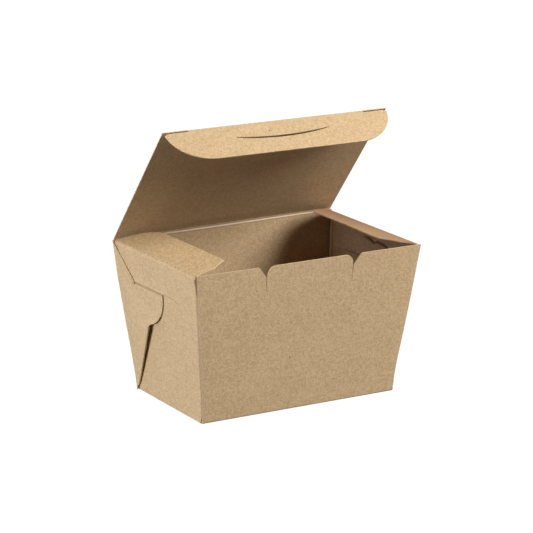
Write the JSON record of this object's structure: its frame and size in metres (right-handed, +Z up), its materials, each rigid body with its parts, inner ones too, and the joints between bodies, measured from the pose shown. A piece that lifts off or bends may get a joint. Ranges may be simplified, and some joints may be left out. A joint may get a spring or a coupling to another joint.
{
  "type": "takeaway box",
  "caption": "Tapered folded-board takeaway box with webbed corners, a lid with a slotted tuck flap, and dust flaps, standing open.",
  "frame": {"origin": "middle of the base's underside, on the surface that the box stands on", "axes": "+Z up, +X along the front to the right, the front panel with the tab faces -Y"},
  "size_m": [0.1324, 0.088, 0.1439],
  "materials": {
    "kraft_board": "uncoated brown kraft board, matt, with fine darker fibres"
  },
  "bodies": {
    "carton": {"carton": "kraft_board"},
    "lid": {"lid": "kraft_board"},
    "tuck_flap": {"tuck_flap": "kraft_board"},
    "dust_flap_left": {"dust_flap_left": "kraft_board"},
    "dust_flap_right": {"dust_flap_right": "kraft_board"}
  },
  "joints": [
    {"name": "lid_fold", "type": "hinge", "parent": "carton", "child": "lid", "pos_m": [0, 0.04382, 0.07955], "axis": [-1, 0, 0], "range_deg": [-50, 130]},
    {"name": "tuck_fold", "type": "hinge", "parent": "lid", "child": "tuck_flap", "pos_m": [0, -0.00992, 0.14359], "axis": [1, 0, 0], "range_deg": [-90, 10]},
    {"name": "dust_fold_left", "type": "hinge", "parent": "carton", "child": "dust_flap_left", "pos_m": [-0.06472, 0, 0.07875], "axis": [0, -1, 0], "range_deg": [-11.5, 29.9]},
    {"name": "dust_fold_right", "type": "hinge", "parent": "carton", "child": "dust_flap_right", "pos_m": [0.06472, 0, 0.07875], "axis": [0, 1, 0], "range_deg": [-11.5, 29.9]}
  ],
  "couplings": [
    {"joint": "dust_fold_left", "follows": "lid_fold", "ratio": 0.23},
    {"joint": "dust_fold_right", "follows": "lid_fold", "ratio": 0.23}
  ]
}
